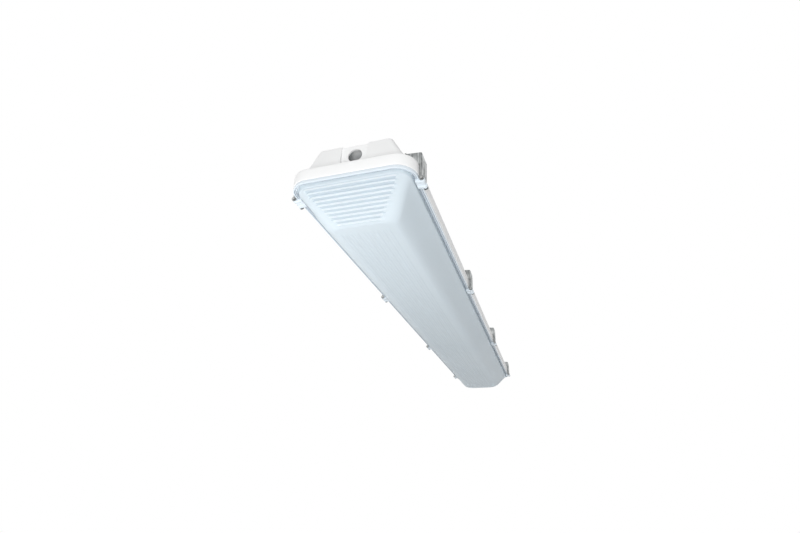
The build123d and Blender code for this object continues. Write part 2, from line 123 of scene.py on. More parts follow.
# A Mix node has sockets for each kind of data, so the ones for colours are told by number
MIX_SHARE, MIX_FIRST, MIX_SECOND, MIX_COLOUR = 0, 6, 7, 2


def put_out(tree, start, made, output, end):
    """Puts out the group's colour and roughness, each between its two values by one share."""
    blend = add_node(tree, "ShaderNodeMix", data_type="RGBA")
    join(tree, made, output, blend, MIX_SHARE)
    join(tree, start, "Tone", blend, MIX_FIRST)
    join(tree, start, "Second Tone", blend, MIX_SECOND)
    join(tree, blend, MIX_COLOUR, end, "Color")
    spread = add_node(tree, "ShaderNodeMapRange")
    join(tree, made, output, spread, "Value")
    join(tree, start, "Low Roughness", spread, "To Min")
    join(tree, start, "High Roughness", spread, "To Max")
    join(tree, spread, "Result", end, "Roughness")


def build_moulded():
    """Two tones that drift into each other, a fine grain height and a roughness."""
    tree, start, end = new_group(
        "moulded_surface",
        {
            "Tone": (COLOUR, (0.9, 0.9, 0.9, 1)),
            "Second Tone": (COLOUR, (0.85, 0.85, 0.85, 1)),
            "Drift Scale": (NUMBER, 6.0),
            "Grain Scale": (NUMBER, 900.0),
            "Low Roughness": (NUMBER, 0.35),
            "High Roughness": (NUMBER, 0.5),
        },
        {"Color": COLOUR, "Grain": NUMBER, "Roughness": NUMBER},
    )
    place = add_node(tree, "ShaderNodeTexCoord")
    drift = add_node(tree, "ShaderNodeTexNoise", {"Detail": 3.0, "Roughness": 0.5})
    join(tree, place, "Object", drift, "Vector")
    join(tree, start, "Drift Scale", drift, "Scale")
    put_out(tree, start, drift, "Fac", end)
    grain = add_node(tree, "ShaderNodeTexNoise", {"Detail": 2.0, "Roughness": 0.6})
    join(tree, place, "Object", grain, "Vector")
    join(tree, start, "Grain Scale", grain, "Scale")
    join(tree, grain, "Fac", end, "Grain")
    return tree


moulded_group = build_moulded()
print("moulded surface group:", len(moulded_group.nodes), "nodes")

# %% [markdown]
# Brushed and rolled metal has fine lines along one direction. An anisotropic shader could give
# the stretched shine, but not the lines. Here they come from noise that is stretched along that
# direction, which changes both the tone and the roughness. A larger, softer noise adds the
# handling marks and dull patches that keep steel from looking chromed.

# %% Rolled metal group
streak_share, patch_share, patch_scale = 0.6, 0.4, 90.0
darkest_mark, brightest_mark = 0.35, 0.65


def build_rolled():
    """Streaks along one axis, with dull patches over them."""
    tree, start, end = new_group(
        "rolled_metal",
        {
            "Tone": (COLOUR, (0.6, 0.6, 0.6, 1)),
            "Second Tone": (COLOUR, (0.4, 0.4, 0.4, 1)),
            "Stretch": ("NodeSocketVector", (900.0, 900.0, 20.0)),
            "Low Roughness": (NUMBER, 0.25),
            "High Roughness": (NUMBER, 0.45),
        },
        {"Color": COLOUR, "Streaks": NUMBER, "Roughness": NUMBER},
    )
    place = add_node(tree, "ShaderNodeTexCoord")
    stretched = add_node(tree, "ShaderNodeVectorMath", operation="MULTIPLY")
    join(tree, place, "Object", stretched, 0)
    join(tree, start, "Stretch", stretched, 1)
    streaks = add_node(tree, "ShaderNodeTexNoise", {"Scale": 1.0, "Detail": 3.0})
    join(tree, stretched, "Vector", streaks, "Vector")
    join(tree, streaks, "Fac", end, "Streaks")
    patches = add_node(tree, "ShaderNodeTexNoise", {"Scale": patch_scale, "Detail": 4.0})
    join(tree, place, "Object", patches, "Vector")
    marks = add_node(tree, "ShaderNodeMath", {1: patch_share}, operation="MULTIPLY")
    join(tree, patches, "Fac", marks, 0)
    both = add_node(tree, "ShaderNodeMath", {1: streak_share}, operation="MULTIPLY_ADD")
    join(tree, streaks, "Fac", both, 0)
    join(tree, marks, "Value", both, 2)
    limits = {"From Min": darkest_mark, "From Max": brightest_mark}
    tone = add_node(tree, "ShaderNodeMapRange", limits)
    join(tree, both, "Value", tone, "Value")
    put_out(tree, start, tone, "Result", end)
    return tree


rolled_group = build_rolled()
print("rolled metal group:", len(rolled_group.nodes), "nodes")

# %% [markdown]
# Each finish is one material: its own Principled shader, fed by one of the groups. What is the
# same all over, such as metal or not, the index and the coat, is set on the shader itself. It
# could be a socket of the group, but then each group would need one for every such setting.

# %% Materials from the groups
finishes = {}


def finish(name, group, tone, second, rough, own_inputs, bump_output, bump_height, shader_inputs):
    """A material whose colour, roughness and fine bump come from one group."""
    material = finishes[name] = bpy.data.materials.new(name)
    material.use_nodes = True
    tree = material.node_tree
    shader = tree.nodes["Principled BSDF"]
    for socket, value in shader_inputs.items():
        shader.inputs[socket].default_value = value
    tones = {"Tone": (*tone, 1), "Second Tone": (*second, 1)}
    roughness = {"Low Roughness": rough[0], "High Roughness": rough[1]}
    inputs = {**tones, **roughness, **own_inputs}
    made = add_node(tree, "ShaderNodeGroup", inputs, node_tree=group)
    join(tree, made, "Color", shader, "Base Color")
    join(tree, made, "Roughness", shader, "Roughness")
    bump = add_node(tree, "ShaderNodeBump", {"Strength": 1.0, "Distance": bump_height})
    join(tree, made, bump_output, bump, "Height")
    join(tree, bump, "Normal", shader, "Normal")
    return material


def moulded(name, tone, second, rough=(0.35, 0.5), grain=900.0, height=0.00002, **shader):
    """A moulded plastic, rubber, foam or painted finish."""
    own = {"Grain Scale": grain}
    return finish(name, moulded_group, tone, second, rough, own, "Grain", height, shader)


def rolled(name, tone, second, stretch, rough=(0.25, 0.45), height=0.00001):
    """A rolled, brushed or plated metal finish."""
    own, shader = {"Stretch": stretch}, {"Metallic": 1.0}
    return finish(name, rolled_group, tone, second, rough, own, "Streaks", height, shader)


# %% [markdown]
# The housing is white glass-reinforced plastic with a soft gloss. The lens is a pale blue plastic,
# frosted all through. A clouded volume could give that look, but it renders slowly and can't be
# exported. Here it is a satin plastic that lets a quarter of the light through. The ribs' valleys
# and the flutes' flanks get darker tones as painted shade, and the ribs' crests a lighter tone as
# a painted highlight. Under the flange a dark tone stands partly for the grey gasket behind the
# plastic and partly for painted shade, and the beads are smooth.

# %% Housing and lens finishes
soft_gloss = {"Specular IOR Level": 0.35}
moulded("housing_plastic", (0.905, 0.91, 0.91), (0.88, 0.885, 0.885), **soft_gloss)
lens_plastic = {"grain": 1400.0, "height": 0.00001, "IOR": 1.45}
frosting = {
    **lens_plastic, "rough": (0.32, 0.44), "Transmission Weight": 0.25, "Specular IOR Level": 0.12,
}
gasket_and_shade_surface = {**lens_plastic, "rough": (0.3, 0.42), "Specular IOR Level": 0.2}
smooth_edge = {**lens_plastic, "rough": (0.2, 0.32), "Coat Weight": 0.5, "Coat Roughness": 0.08}
moulded("frosted_lens", (0.765, 0.85, 0.905), (0.73, 0.82, 0.88), **frosting)
# Darker tone in the ribs' valleys: painted shade
moulded("lens_valley_painted_shade", (0.61, 0.70, 0.77), (0.58, 0.67, 0.74), **frosting)
# Lighter tone on the ribs' crests: painted highlight
moulded("lens_crest_painted_highlight", (0.84, 0.905, 0.945), (0.81, 0.88, 0.925), **frosting)
# Darker tone on the flutes' flanks: painted shade
moulded("lens_flute_painted_shade", (0.715, 0.80, 0.86), (0.68, 0.77, 0.835), **frosting)
# Dark tone under the flange and in the groove: partly the grey gasket behind the plastic, partly
# painted shade
moulded("lens_gasket_and_painted_shade", (0.39, 0.44, 0.49), (0.35, 0.40, 0.45), **gasket_and_shade_surface)
moulded("lens_edge", (0.71, 0.78, 0.835), (0.66, 0.73, 0.79), **smooth_edge)
print("housing and lens:", len(finishes), "finishes")

# %% [markdown]
# The latches are worn stainless steel with strong streaks up and down, the brackets have a finer
# brushing, the driver's case is drawn along its length, and the screws are zinc plated with no
# grain at all. All come from one group: a small number on one axis draws the streaks out along
# it, and three equal numbers leave plain mottling.

# %% Metal finishes
rolled(
    "latch_steel", (0.60, 0.62, 0.62), (0.16, 0.17, 0.17), (420.0, 420.0, 24.0), height=0.00003
)
rolled("stainless", (0.62, 0.62, 0.61), (0.40, 0.40, 0.40), (160.0, 160.0, 1200.0))
rolled("driver_case", (0.72, 0.73, 0.74), (0.58, 0.59, 0.60), (400.0, 12.0, 400.0))
rolled("zinc_screw", (0.68, 0.68, 0.64), (0.50, 0.50, 0.46), (300.0, 300.0, 300.0))
print("with the metals:", len(finishes), "finishes")

# %% [markdown]
# Behind the lens are the painted tray, the foam gasket, the boards with their yellow phosphor,
# and small plastic and rubber parts. They could have finer finishes, but they show only while
# the lens is down, so each has two close tones and a roughness. Every node then gets the finish
# that its record names.

# %% Finishes of the inner pieces
moulded("tray_paint", (0.86, 0.86, 0.84), (0.82, 0.82, 0.80), (0.25, 0.35), 500.0)
moulded("gasket_foam", (0.30, 0.31, 0.32), (0.22, 0.23, 0.24), (0.8, 0.95), 700.0, 0.0002)
moulded("plug_plastic", (0.33, 0.34, 0.35), (0.26, 0.27, 0.28))
moulded("board_mask", (0.84, 0.86, 0.84), (0.78, 0.80, 0.78), (0.3, 0.4))
moulded("led_phosphor", (0.85, 0.66, 0.12), (0.78, 0.58, 0.08), (0.3, 0.5))
moulded("terminal_plastic", (0.70, 0.70, 0.67), (0.64, 0.64, 0.61))
moulded("ground_green", (0.02, 0.22, 0.05), (0.015, 0.16, 0.04), (0.25, 0.4))
moulded("wire_black", (0.02, 0.02, 0.02), (0.03, 0.03, 0.03))
moulded("wire_white", (0.76, 0.76, 0.73), (0.70, 0.70, 0.67))
moulded("grommet_rubber", (0.025, 0.025, 0.025), (0.04, 0.04, 0.04), (0.6, 0.8))

slot_of = {piece["node"]: piece["material_slot"] for piece in frame["record"]["subparts"]}
for name, node in nodes.items():
    node.data.materials.clear()
    node.data.materials.append(finishes[slot_of[name]])
print("in all:", len(finishes), "finishes")

# %% [markdown]
# The visible pieces are skins: rings of points, one above the other, joined by faces. A cage with
# a subdivision modifier could be as soft, but it would only come near its sizes, while rings
# meet them. Every ring is a rounded rectangle around the fixture's axis, told by its half width,
# half length, corner and height. Where two wall bands meet, a few rings on a curve round the edge.

# %% Rings
corner_steps = 14


def ring(half_x, half_y, corner, z, end_points=0):
    """Points of a rounded rectangle, each with the direction that it faces.

    Extra points along its two short ends let a shape change there."""
    points = []
    for quarter in range(4):
        side_x = 1 if quarter in (0, 3) else -1
        side_y = 1 if quarter in (0, 1) else -1
        centre = Vector((side_x * (half_x - corner), side_y * (half_y - corner), z))
        for step in range(corner_steps + 1):
            angle = (quarter + step / corner_steps) * pi / 2
            out = Vector((cos(angle), sin(angle), 0))
            points.append((centre + corner * out, out))
        if quarter in (0, 2):
            start = points[-1][0]
            span = Vector((-2 * start.x, 0, 0)) / (end_points + 1)
            points += [(start + span * n, out) for n in range(1, end_points + 1)]
    return points


def plain(sizes, end_points=0):
    """The points of a ring alone."""
    return [point for point, _ in ring(*sizes, end_points)]


def drawn_in(sizes, x, y, corner, fall=0.0):
    """Ring sizes drawn in by a wall, and lowered."""
    return (sizes[0] - x, sizes[1] - y, sizes[2] - corner, sizes[3] - fall)


def between(start, end, share):
    """The ring sizes at a share of the way between two rings."""
    return tuple(a + (b - a) * share for a, b in zip(start, end))


def toward(start, end, reach):
    """The ring sizes a reach from the start on the way to the end, at most half way."""
    span = hypot(end[0] - start[0], end[3] - start[3])
    return between(start, end, min(reach / span, 0.5))


def rounded(bands, steps=5):
    """Ring sizes along a profile of corners, each rounded by its own reach."""
    sizes = [bands[0][0]]
    for (before, _), (corner, reach), (after, _) in zip(bands, bands[1:], bands[2:]):
        first, last = toward(corner, before, reach), toward(corner, after, reach)
        for step in range(steps + 1):
            share = step / steps
            arriving, leaving = between(first, corner, share), between(corner, last, share)
            sizes.append(between(arriving, leaving, share))
    sizes.append(bands[-1][0])
    return sizes


print("points in a plain ring:", 4 * (corner_steps + 1))

# %% [markdown]
# Joining rings gives a bmesh, and the bmesh becomes an object. Its faces are smooth, apart from
# edges that turn by more than a crease angle. Each piece then says which body it rides on, so
# that it moves with its joint, which plain solids it stands for, and which finish slot it takes.

# %% From rings to pieces
crease_angle = radians(35)


def add_skin(shape, rings, closed=False):
    """Joins rings of points into one surface, with its ends capped or joined."""
    rows = [[shape.verts.new(point) for point in points] for points in rings]
    pairs = list(zip(rows, rows[1:]))
    if closed:
        pairs.append((rows[-1], rows[0]))
    for lower, upper in pairs:
        for n in range(len(lower)):
            shape.faces.new((lower[n - 1], lower[n], upper[n], upper[n - 1]))
    if not closed:
        shape.faces.new(rows[0][::-1])
        shape.faces.new(rows[-1])


def make_piece(name, shape, materials, body, replaced):
    """Turns a bmesh into a piece of the model that rides on a body."""
    bmesh.ops.recalc_face_normals(shape, faces=shape.faces)
    mesh = bpy.data.meshes.new(name)
    shape.to_mesh(mesh)
    shape.free()
    for face in mesh.polygons:
        face.use_smooth = True
    mesh.set_sharp_from_angle(angle=crease_angle)
    piece = bpy.data.objects.new(name, mesh)
    bpy.context.collection.objects.link(piece)
    for material in materials:
        mesh.materials.append(finishes[material])
    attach(piece, body)
    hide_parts(*replaced)
    return piece


# %% [markdown]
# The lens is one frosted shell. It could be a solid that a second one hollows out, but one closed
# profile keeps the wall even. From the inside out it runs up the inner slope, over the tongue
# that enters the gasket channel, along the underside of the flange, through a narrow groove, and
# down the wall to the slope and the flat. The rim comes from the housing's box in the frame.

# %% Lens sizes
housing_low, housing_high = (Vector(corner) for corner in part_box("housing"))
rim_x, rim_y, rim_z = housing_high.x, housing_high.y, housing_low.z
rim_corner, lens_wall = 0.032, 0.0025
flange_top, flange_under, flange_edge = 0.0003, 0.0033, 0.0005
bead_inner, bead_low, bead_lap = 0.0023, 0.0050, 0.0006
tongue_outer, tongue_inner, tongue_rise = 0.0057, 0.0080, 0.0087
mouth_inset, step_lean, step_depth = 0.0080, 0.0010, 0.0070
groove_width, groove_depth = 0.0016, 0.0017
lens_depth, flat_x, end_run, flat_corner = 0.050, 0.0435, 0.0615, 0.017
flat_y = rim_y - end_run
edge_round, tongue_round, flange_round, groove_round = 0.0005, 0.0008, 0.0004, 0.0003
step_round, mouth_round, flat_round, inner_flat_round = 0.0012, 0.002, 0.002, 0.004
# The last ring on each flat lies this far in, and a cap closes it
flat_cap, inner_cap, inner_cap_corner = 0.004, 0.012, 0.008


def rim_ring(inset, rise):
    """Ring sizes that follow the rim at an inset, at a height over the rim plane."""
    return (rim_x - inset, rim_y - inset, rim_corner - inset, rim_z + rise)


step_ring = rim_ring(mouth_inset + step_lean, -step_depth)
flat_ring = (flat_x, flat_y, flat_corner, rim_z - lens_depth)
slope_run, slope_end_run = step_ring[0] - flat_x, step_ring[1] - flat_y
slope_rise = lens_depth - step_depth
slope_length = hypot(slope_end_run, slope_rise)
slope_wall = lens_wall * hypot(slope_run, slope_rise) / slope_rise
print("slope length", round(slope_length * 1000, 1), "mm")

# %% [markdown]
# The long sides of the lens bow outwards and run softly into the flat, while its end slopes are
# straight and carry the ribs: round ridges with narrow valleys between them, which get shorter
# as the slope narrows. Each rib could be a bar of its own. A wave that lifts the rings' points
# gives the same ridges with soft feet, and it can fade out before it reaches the corners.

# %% Ribs as a wave on the rings
bow_share, slope_top, slope_foot = 0.60, 0.02, 0.975
rib_count, rib_height, rib_band_gap, rib_rings = 10, 0.0021, 0.0045, 10
rib_reach_top, rib_reach_foot, rib_fade, rib_points = 0.082, 0.036, 0.009, 24
corner_fade_start, corner_fade_end = 0.72, 0.97
rib_pitch = (slope_length - 2 * rib_band_gap) / (rib_count - 1)


def slope_ring(share):
    """Ring sizes at a share of the slope, whose long sides bow out more the lower they are."""
    sizes = between(step_ring, flat_ring, share)
    straight, bowed = 1 - share, sqrt(1 - share ** 2)
    bow = bow_share * share * (bowed - straight)
    return (flat_x + slope_run * (straight + bow), *sizes[1:])


def rib_wave(share):
    """How high the ribs stand at a share of the slope, as a share of their full height."""
    turn = (share * slope_length - rib_band_gap) / rib_pitch + 0.5
    return abs(sin(pi * turn)) if 0 < turn < rib_count else 0.0


def eased_step(value, low, high):
    """A smooth step from nothing at the low value to all of it at the high one."""
    share = min(max((value - low) / (high - low), 0.0), 1.0)
    return share * share * (3 - 2 * share)


def rib_strength(x, share):
    """How much of a rib is left at a place across the end: lower ribs are shorter."""
    reach = rib_reach_top + (rib_reach_foot - rib_reach_top) * share
    return 1 - eased_step(abs(x), reach - rib_fade, reach)


def ribbed_ring(share):
    """The ring at a share of the way down the slope, with the ribs' wave on its ends."""
    height = rib_height * rib_wave(share)
    points = []
    for point, out in ring(*slope_ring(share), rib_points):
        normal = Vector((out.x, out.y, -slope_end_run / slope_rise)).normalized()
        turned = eased_step(abs(out.y), corner_fade_start, corner_fade_end)
        strength = turned * rib_strength(point.x, share)
        points.append(point + normal * height * strength)
    return points


print("rib pitch", round(rib_pitch * 1000, 2), "mm")

# %% [markdown]
# Eight shallow flutes run along the flat and spread the light across the room. They could be part
# of the shell's own rings, but those go round the lens and not along it. Each flute is a long low
# strip instead, sunk a little into the flat, and its height fades out towards both ends.

# %% Flutes along the flat
flute_count, flute_pitch, flute_width, flute_height = 8, 0.010, 0.007, 0.00055
flute_end_gap, flute_fade, flute_root = 0.010, 0.018, 0.0008
flute_fade_steps, flute_fade_start, flute_arc_steps = 6, -0.05, 8


def add_flutes(shape):
    """Low rounded strips along the flat, which fade out at both ends."""
    ends = [n / flute_fade_steps for n in range(flute_fade_steps + 1)]
    stations = [(-1, share) for share in ends] + [(1, share) for share in reversed(ends)]
    flat_z = flat_ring[3]
    for n in range(flute_count):
        middle = (n - (flute_count - 1) / 2) * flute_pitch
        rings = []
        for side, share in stations:
            y = side * (flat_y - flute_end_gap - flute_fade * share)
            height = flute_height * eased_step(share, flute_fade_start, 1)
            rings.append([
                Vector((middle + flute_width / 2, y, flat_z + flute_root)),
                *[
                    Vector((
                        middle + flute_width * (0.5 - k / flute_arc_steps), y,
                        flat_z - height * sin(pi * k / flute_arc_steps),
                    ))
                    for k in range(flute_arc_steps + 1)
                ],
                Vector((middle - flute_width / 2, y, flat_z + flute_root)),
            ])
        add_skin(shape, rings)


print("flutes cover", round(((flute_count - 1) * flute_pitch + flute_width) * 1000), "mm")

# %% [markdown]
# Now the shell's rings are joined, and each face is told its finish. The tones could be painted
# or come from a mask, but a face's place says it all: in the groove, on a flute's flank, in a
# valley of the ribs or on a crest. The darker tones on the flanks and in the valleys are painted
# shade, the crests' lighter tone is a painted highlight, and the groove's dark tone is partly the
# gasket behind the plastic and partly painted shade. The rings are dense there, so the tones end
# on clean lines.

# %% Lens shell
valley_share, ribbed_share, flute_lean = 0.50, 0.5, 0.15
end_facing, crest_facing, groove_share = 1.5, 2.5, 0.25
lens_finishes = ["frosted_lens", "lens_gasket_and_painted_shade", "lens_valley_painted_shade", "lens_flute_painted_shade", "lens_crest_painted_highlight"]


def build_lens():
    """The frosted shell with its tongue, groove, ribs and flutes."""
    inner_flat = drawn_in(flat_ring, slope_wall, slope_wall, slope_wall, -lens_wall)
    flange_outer, groove_outer = bead_inner - bead_lap, mouth_inset - groove_width
    above = rounded([
        (drawn_in(inner_flat, inner_cap, inner_cap, inner_cap_corner), 0),
        (inner_flat, inner_flat_round),
        (rim_ring(mouth_inset + step_lean + lens_wall, -step_depth), mouth_round),
        (rim_ring(mouth_inset + lens_wall, -flange_top), edge_round),
        (rim_ring(tongue_inner, -flange_top), edge_round),
        (rim_ring(tongue_inner, tongue_rise), tongue_round),
        (rim_ring(tongue_outer, tongue_rise), tongue_round),
        (rim_ring(tongue_outer, -flange_top), edge_round),
        (rim_ring(flange_outer, -flange_top), flange_round),
        (rim_ring(flange_outer, -flange_under), flange_round),
        (rim_ring(groove_outer, -flange_under), edge_round),
        (rim_ring(groove_outer, groove_depth - flange_under), groove_round),
        (rim_ring(mouth_inset, groove_depth - flange_under), groove_round),
        (step_ring, step_round),
        (slope_ring(slope_top), 0),
    ])
    steps = rib_count * rib_rings
    rib_shares = [slope_top + n * (slope_foot - slope_top) / steps for n in range(steps + 1)]
    below = rounded([
        (slope_ring(slope_foot), 0),
        (flat_ring, flat_round),
        (drawn_in(flat_ring, flat_cap, flat_cap, flat_cap), 0),
    ])
    shape = bmesh.new()
    add_skin(
        shape,
        [plain(sizes, rib_points) for sizes in above[:-1]]
        + [ribbed_ring(share) for share in rib_shares]
        + [plain(sizes, rib_points) for sizes in below[1:]],
    )
    add_flutes(shape)
    return shape


def lens_zone(face):
    """Which of the lens's finishes a face takes, told by where it lies and how it faces."""
    middle, normal = face.calc_center_median(), face.normal
    across = abs(normal.x)
    inset_x, inset_y = rim_x - abs(middle.x), rim_y - abs(middle.y)
    # Under the flange and in the groove: dark tone, partly the gasket behind, partly painted shade
    if -flange_under - groove_depth * groove_share < middle.z - rim_z < -flange_top:
        return "lens_gasket_and_painted_shade" if min(inset_x, inset_y) < mouth_inset else "frosted_lens"
    # A flute's flank that leans sideways: darker tone, painted shade
    if middle.z < flat_ring[3] and across > flute_lean and abs(middle.x) < flat_x:
        return "lens_flute_painted_shade"
    share = (rim_z - step_depth - middle.z) / slope_rise
    on_end = abs(middle.y) > flat_y and abs(normal.y) > across * end_facing
    slope_inset = rim_y - step_ring[1] + share * slope_end_run
    outside = normal.z < 0 and inset_y < slope_inset + rib_height
    ribbed = slope_top < share < slope_foot and rib_strength(middle.x, share) > ribbed_share
    if not (on_end and outside and ribbed):
        return "frosted_lens"
    # In a valley of the ribs: darker tone, painted shade
    if rib_wave(share) < valley_share:
        return "lens_valley_painted_shade"
    # A crest that faces out along the fixture: lighter tone, painted highlight
    return "lens_crest_painted_highlight" if abs(normal.y) > across * crest_facing else "frosted_lens"


lens_shape = build_lens()
bmesh.ops.recalc_face_normals(lens_shape, faces=lens_shape.faces)
for face in lens_shape.faces:
    face.material_index = lens_finishes.index(lens_zone(face))
lens_shell = make_piece(
    "lens_shell", lens_shape, lens_finishes, "lens_frame", ["lens"]
)
print("lens shell:", len(lens_shell.data.vertices), "points")

# %% [markdown]
# Two beads run round under the flange, and eight knuckles grow out of it for the latch pins. Each
# knuckle is three barrels: two fingers with a thinner waist between them. They could be cut from
# one block, but bars with round ends are simpler. Their edges catch the light, so beads and
# knuckles share a smoother finish with a thin clear coat.

# %% Rim beads and knuckles
bead_sink, bead_round, second_bead_round = 0.0008, 0.0008, 0.00045
second_bead_outer, second_bead_inner, second_bead_low = 0.0035, 0.0045, 0.0042
pivot_out, pivot_drop = 0.0036, 0.0042
pivot_x, pivot_z = rim_x + pivot_out, rim_z - pivot_drop
knuckle_radius, knuckle_half, knuckle_root, knuckle_edge = 0.0038, 0.010, 0.007, 0.0012
barrel_start, barrel_end, barrel_steps, edge_steps = -120, 90, 14, 4
finger_share, waist = 0.68, 0.0011
latch_boxes = [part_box(name) for name in nodes if name.startswith("latch_right")]
latch_places = sorted(round((low[1] + high[1]) / 2, 5) for low, high in latch_boxes)


def arc(centre, radius, start, end, steps):
    """Points on an arc between two angles in degrees."""
    return [
        (centre[0] + radius * cos(angle), centre[1] + radius * sin(angle))
        for angle in [radians(start + (end - start) * n / steps) for n in range(steps + 1)]
    ]


def add_knuckle(shape, side, place, half, radius):
    """A barrel on a block that reaches in over the bead, with round ends."""
    inner = rim_x - knuckle_root
    barrel = arc((pivot_x, pivot_z), radius, barrel_start, barrel_end, barrel_steps)
    outline = [(inner, rim_z - flange_top), (inner, pivot_z - radius / 2), *barrel]
    middle = Vector((sum(p[0] for p in outline), sum(p[1] for p in outline))) / len(outline)
    rings = []
    for end in (-1, 1):
        for step in range(edge_steps + 1):
            turn = pi / 2 * (step if end < 0 else edge_steps - step) / edge_steps
            inset = knuckle_edge * (1 - sin(turn))
            y = place + end * (half - knuckle_edge * (1 - cos(turn)))
            section = [Vector(p) + (middle - Vector(p)).normalized() * inset for p in outline]
            rings.append([Vector((side * x, y, z)) for x, z in section])
    add_skin(shape, rings)


def add_bead(shape, outer, inner, low, high, reach):
    """One bead all round the rim, with its four edges rounded by a reach."""
    corners = [
        (rim_ring(outer, -high), reach / 2),
        (rim_ring(outer, -low), reach),
        (rim_ring(inner, -low), reach),
        (rim_ring(inner, -high), reach / 2),
    ]
    looped = [corners[-1], *corners, corners[0]]
    add_skin(shape, [plain(sizes) for sizes in rounded(looped)[1:-1]], closed=True)


def build_rim():
    """Two beads all round the flange, with four knuckles on each long side."""
    shape = bmesh.new()
    add_bead(shape, flange_edge, bead_inner, bead_low, flange_top, bead_round)
    add_bead(
        shape, second_bead_outer, second_bead_inner, second_bead_low,
        flange_under - bead_sink, second_bead_round,
    )
    finger_half = knuckle_half * finger_share / 2
    finger_place = knuckle_half - finger_half
    for side in (-1, 1):
        for place in latch_places:
            add_knuckle(shape, side, place, finger_place, knuckle_radius - waist)
            for end in (-1, 1):
                add_knuckle(shape, side, place + end * finger_place, finger_half, knuckle_radius)
    return shape


make_piece("lens_rim", build_rim(), ["lens_edge"], "lens_frame", ["lens"])
print("knuckles at", latch_places)

# %% [markdown]
# The housing needs pockets, holes and notches in its skin. Their edges could be drawn into the
# rings by hand, but a Boolean modifier cuts them exactly where they belong. It works on two
# temporary objects, and only the resulting mesh is kept. The tools are bars with simple outlines.

# %% Carving one shape with another
def carve(shape, tools, operation="DIFFERENCE"):
    """The shape after the tools' solids are taken away from it or added to it."""
    solids = []
    for made in (shape, tools):
        bmesh.ops.recalc_face_normals(made, faces=made.faces)
        mesh = bpy.data.meshes.new("carving")
        made.to_mesh(mesh)
        made.free()
        solids.append(bpy.data.objects.new("carving", mesh))
        bpy.context.collection.objects.link(solids[-1])
    body, tool = solids
    step = body.modifiers.new("carve", "BOOLEAN")
    step.operation, step.solver, step.object = operation, "EXACT", tool
    result = bmesh.new()
    result.from_object(body, bpy.context.evaluated_depsgraph_get())
    for solid in solids:
        mesh = solid.data
        bpy.data.objects.remove(solid)
        bpy.data.meshes.remove(mesh)
    return result


def add_bar(shape, outline, start, end, centre=(0.0, 0.0)):
    """A bar along the length, with an outline across it, from a start to an end."""
    add_skin(
        shape,
        [[Vector((centre[0] + x, y, centre[1] + z)) for x, z in outline] for y in (start, end)],
    )


def circle(radius, count):
    """The outline of a circle, with a count of points."""
    return arc((0, 0), radius, 0, 360 * (count - 1) / count, count - 1)


def soft_box(half_x, half_z, radius, corner_arc_steps=5):
    """The outline of a rounded rectangle across the fixture."""
    outline = []
    for n, (side_x, side_z) in enumerate(((1, 1), (-1, 1), (-1, -1), (1, -1))):
        middle = (side_x * (half_x - radius), side_z * (half_z - radius))
        outline += arc(middle, radius, 90 * n, 90 * n + 90, corner_arc_steps)
    return outline


# %% [markdown]
# The housing is a second skin. Its profile starts inside the back, comes down the inner wall,
# goes round the gasket channel and climbs the skirt, the shoulder and the leaning side again.
# A Solidify modifier could thicken one outer skin, but the channel and its lip need an inside
# of their own.

# %% Housing skin
housing_wall, housing_height = 0.003, 0.066
skirt_height, shoulder_rise, side_shoulder, end_shoulder = 0.0195, 0.004, 0.0143, 0.017
side_lean, end_lean, foot_corner, back_corner = 0.0236, 0.004, 0.009, 0.005
channel_width, channel_depth, lip_wall, lip_lift = 0.008, 0.0145, 0.0025, 0.005
rim_round, skirt_round, foot_round, back_round = 0.0011, 0.0028, 0.006, 0.0022
channel_round, lip_round = 0.0008, 0.0006
mouth_top_round, inner_foot_round, inner_back_round = 0.0015, 0.002, 0.0012
back_cap, inner_back_cap, cap_corner = 0.008, 0.006, 0.001

foot_z, back_z = rim_z + skirt_height + shoulder_rise, rim_z + housing_height
foot_ring = (rim_x - side_shoulder, rim_y - end_shoulder, foot_corner, foot_z)
back_ring = (foot_ring[0] - side_lean, foot_ring[1] - end_lean, back_corner, back_z)
body_rise = back_z - foot_z
side_wall = housing_wall * hypot(side_lean, body_rise) / body_rise
end_wall = housing_wall * hypot(end_lean, body_rise) / body_rise


def housing_skin():
    """The moulded shell before anything is carved out of it."""
    channel_inner = housing_wall + channel_width
    mouth = housing_wall + channel_width + lip_wall
    inner_back = drawn_in(back_ring, side_wall, end_wall, housing_wall, housing_wall)
    profile = rounded([
        (drawn_in(inner_back, inner_back_cap, inner_back_cap, cap_corner), 0),
        (inner_back, inner_back_round),
        (drawn_in(foot_ring, side_wall, end_wall, housing_wall), inner_foot_round),
        (rim_ring(mouth, channel_depth), mouth_top_round),
        (rim_ring(mouth, lip_lift), lip_round),
        (rim_ring(channel_inner, lip_lift), lip_round),
        (rim_ring(channel_inner, channel_depth), channel_round),
        (rim_ring(housing_wall, channel_depth), channel_round),
        (rim_ring(housing_wall, 0.0), channel_round),
        (rim_ring(0.0, 0.0), rim_round),
        (rim_ring(0.0, skirt_height), skirt_round),
        (foot_ring, foot_round),
        (back_ring, back_round),
        (drawn_in(back_ring, back_cap, back_cap, cap_corner), 0),
    ])
    shape = bmesh.new()
    add_skin(shape, [plain(sizes) for sizes in profile])
    return shape


print("side wall", round(side_wall * 1000, 2), "mm across, end wall", round(end_wall * 1000, 2))

# %% [markdown]
# Each end has a shallow pocket with a thick pad behind it and a conduit hole through both, and
# the sides have small notches for the brackets. The pads are added before the pockets and holes
# are cut, so that the holes pass through them too. The beads on the back and the bosses for the
# tray only sink into the shell, so they are added as they are.

